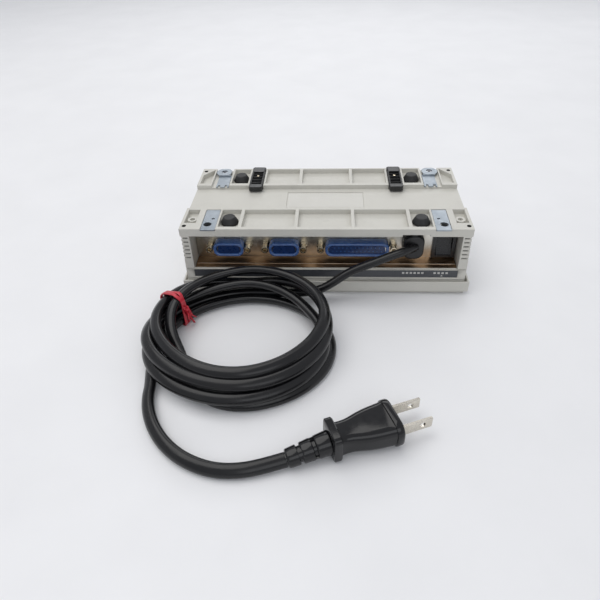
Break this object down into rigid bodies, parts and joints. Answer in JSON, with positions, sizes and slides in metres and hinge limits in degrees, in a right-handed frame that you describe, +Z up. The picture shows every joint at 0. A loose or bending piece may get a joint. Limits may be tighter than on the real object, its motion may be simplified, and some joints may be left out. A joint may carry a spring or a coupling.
{
  "type": "desktop instrument",
  "caption": "Small mains-powered desktop instrument lying upside down, with rear connectors, rocker switch, front keys, folding tilt legs and a coiled mains lead.",
  "frame": {"origin": "middle of the casing's footprint, on the surface that the top cover lies on (the mains lead is left out of this)", "axes": "+X along the width, to the right as the rear panel is faced; +Y from the rear panel to the front panel; +Z up, out of the underside with its feet"},
  "size_m": [0.2042, 0.2313, 0.05],
  "materials": {
    "case_plastic": "fine moulded texture",
    "cover_panel": "satin",
    "strip": "satin film",
    "label": "foil",
    "zinc": "zinc plated",
    "panel_metal": "bright plated sheet",
    "screw_steel": "plated",
    "foot_rubber": "matt",
    "leg_plastic": "satin",
    "shell_metal": "tin plated",
    "insert_plastic": "moulded",
    "pin_metal": "gold flash",
    "cap_plastic": "translucent",
    "jack_metal": "machined",
    "bush_plastic": "moulded",
    "switch_plastic": "moulded",
    "rocker_plastic": "moulded",
    "front_plastic": "moulded",
    "window_plastic": "tinted",
    "key_plastic": "moulded",
    "switch_parts": "moulded",
    "board": "solder mask",
    "display_glass": "clear",
    "standoff_metal": "machined",
    "iron": "laminated",
    "winding": "enamelled copper",
    "cord_sheath": "satin sheath",
    "tie_plastic": "soft",
    "plug_plastic": "moulded",
    "blade_metal": "stamped"
  },
  "bodies": {
    "case": {"top_cover": "case_plastic", "upper_case": "case_plastic", "lower_case": "case_plastic", "top_label": "cover_panel", "label_strip": "strip", "underside_label": "label", "rear_plate_left": "zinc", "rear_plate_right": "zinc", "front_plate_left": "zinc", "front_plate_right": "zinc", "rear_panel": "panel_metal", "plate_screws": "screw_steel", "case_screws": "screw_steel", "board_screws": "screw_steel", "foot_rear_left": "foot_rubber", "foot_rear_right": "foot_rubber", "foot_front_left": "foot_rubber", "foot_front_right": "foot_rubber", "serial_left_shell": "shell_metal", "serial_right_shell": "shell_metal", "parallel_shell": "shell_metal", "serial_left_insert": "insert_plastic", "serial_right_insert": "insert_plastic", "parallel_insert": "insert_plastic", "connector_pins": "pin_metal", "dust_cap_serial_left": "cap_plastic", "dust_cap_serial_right": "cap_plastic", "dust_cap_parallel": "cap_plastic", "jackscrews": "jack_metal", "cord_bushing": "bush_plastic", "switch_housing": "switch_plastic", "front_panel": "front_plastic", "display_window": "window_plastic", "key_switches": "switch_parts", "fuse_holder": "switch_parts", "capacitors": "switch_parts", "main_board": "board", "display_board": "board", "display_module": "display_glass", "fuse": "display_glass", "standoffs": "standoff_metal", "transformer_core": "iron", "transformer_winding": "winding", "mains_lead": "cord_sheath", "lead_coil": "cord_sheath", "lead_tie": "tie_plastic", "plug_body": "plug_plastic", "plug_relief": "plug_plastic", "plug_blades": "blade_metal"},
    "rocker": {"power_rocker": "rocker_plastic"},
    "leg_left": {"tilt_leg_left": "leg_plastic"},
    "leg_right": {"tilt_leg_right": "leg_plastic"},
    "button_1": {"key_1": "key_plastic"},
    "button_2": {"key_2": "key_plastic"},
    "button_3": {"key_3": "key_plastic"},
    "button_4": {"key_4": "key_plastic"},
    "button_5": {"key_5": "key_plastic"}
  },
  "joints": [
    {"name": "rocker_tilt", "type": "hinge", "parent": "case", "child": "rocker", "pos_m": [0.0771, -0.0281, 0.0306], "axis": [1, 0, 0], "range_deg": [0, 12]},
    {"name": "button_1_press", "type": "slide", "parent": "case", "child": "button_1", "axis": [0, -1, 0], "range_m": [0, 0.001], "stiffness_N_per_m": 200, "springref_m": -0.001},
    {"name": "button_2_press", "type": "slide", "parent": "case", "child": "button_2", "axis": [0, -1, 0], "range_m": [0, 0.001], "stiffness_N_per_m": 200, "springref_m": -0.001},
    {"name": "button_3_press", "type": "slide", "parent": "case", "child": "button_3", "axis": [0, -1, 0], "range_m": [0, 0.001], "stiffness_N_per_m": 200, "springref_m": -0.001},
    {"name": "button_4_press", "type": "slide", "parent": "case", "child": "button_4", "axis": [0, -1, 0], "range_m": [0, 0.001], "stiffness_N_per_m": 200, "springref_m": -0.001},
    {"name": "button_5_press", "type": "slide", "parent": "case", "child": "button_5", "axis": [0, -1, 0], "range_m": [0, 0.001], "stiffness_N_per_m": 200, "springref_m": -0.001},
    {"name": "leg_left_fold", "type": "hinge", "parent": "case", "child": "leg_left", "pos_m": [-0.0488, 0.0404, 0.0467], "axis": [-1, 0, 0], "range_deg": [0, 95]},
    {"name": "leg_right_fold", "type": "hinge", "parent": "case", "child": "leg_right", "pos_m": [0.0488, 0.0404, 0.0467], "axis": [-1, 0, 0], "range_deg": [0, 95]}
  ]
}
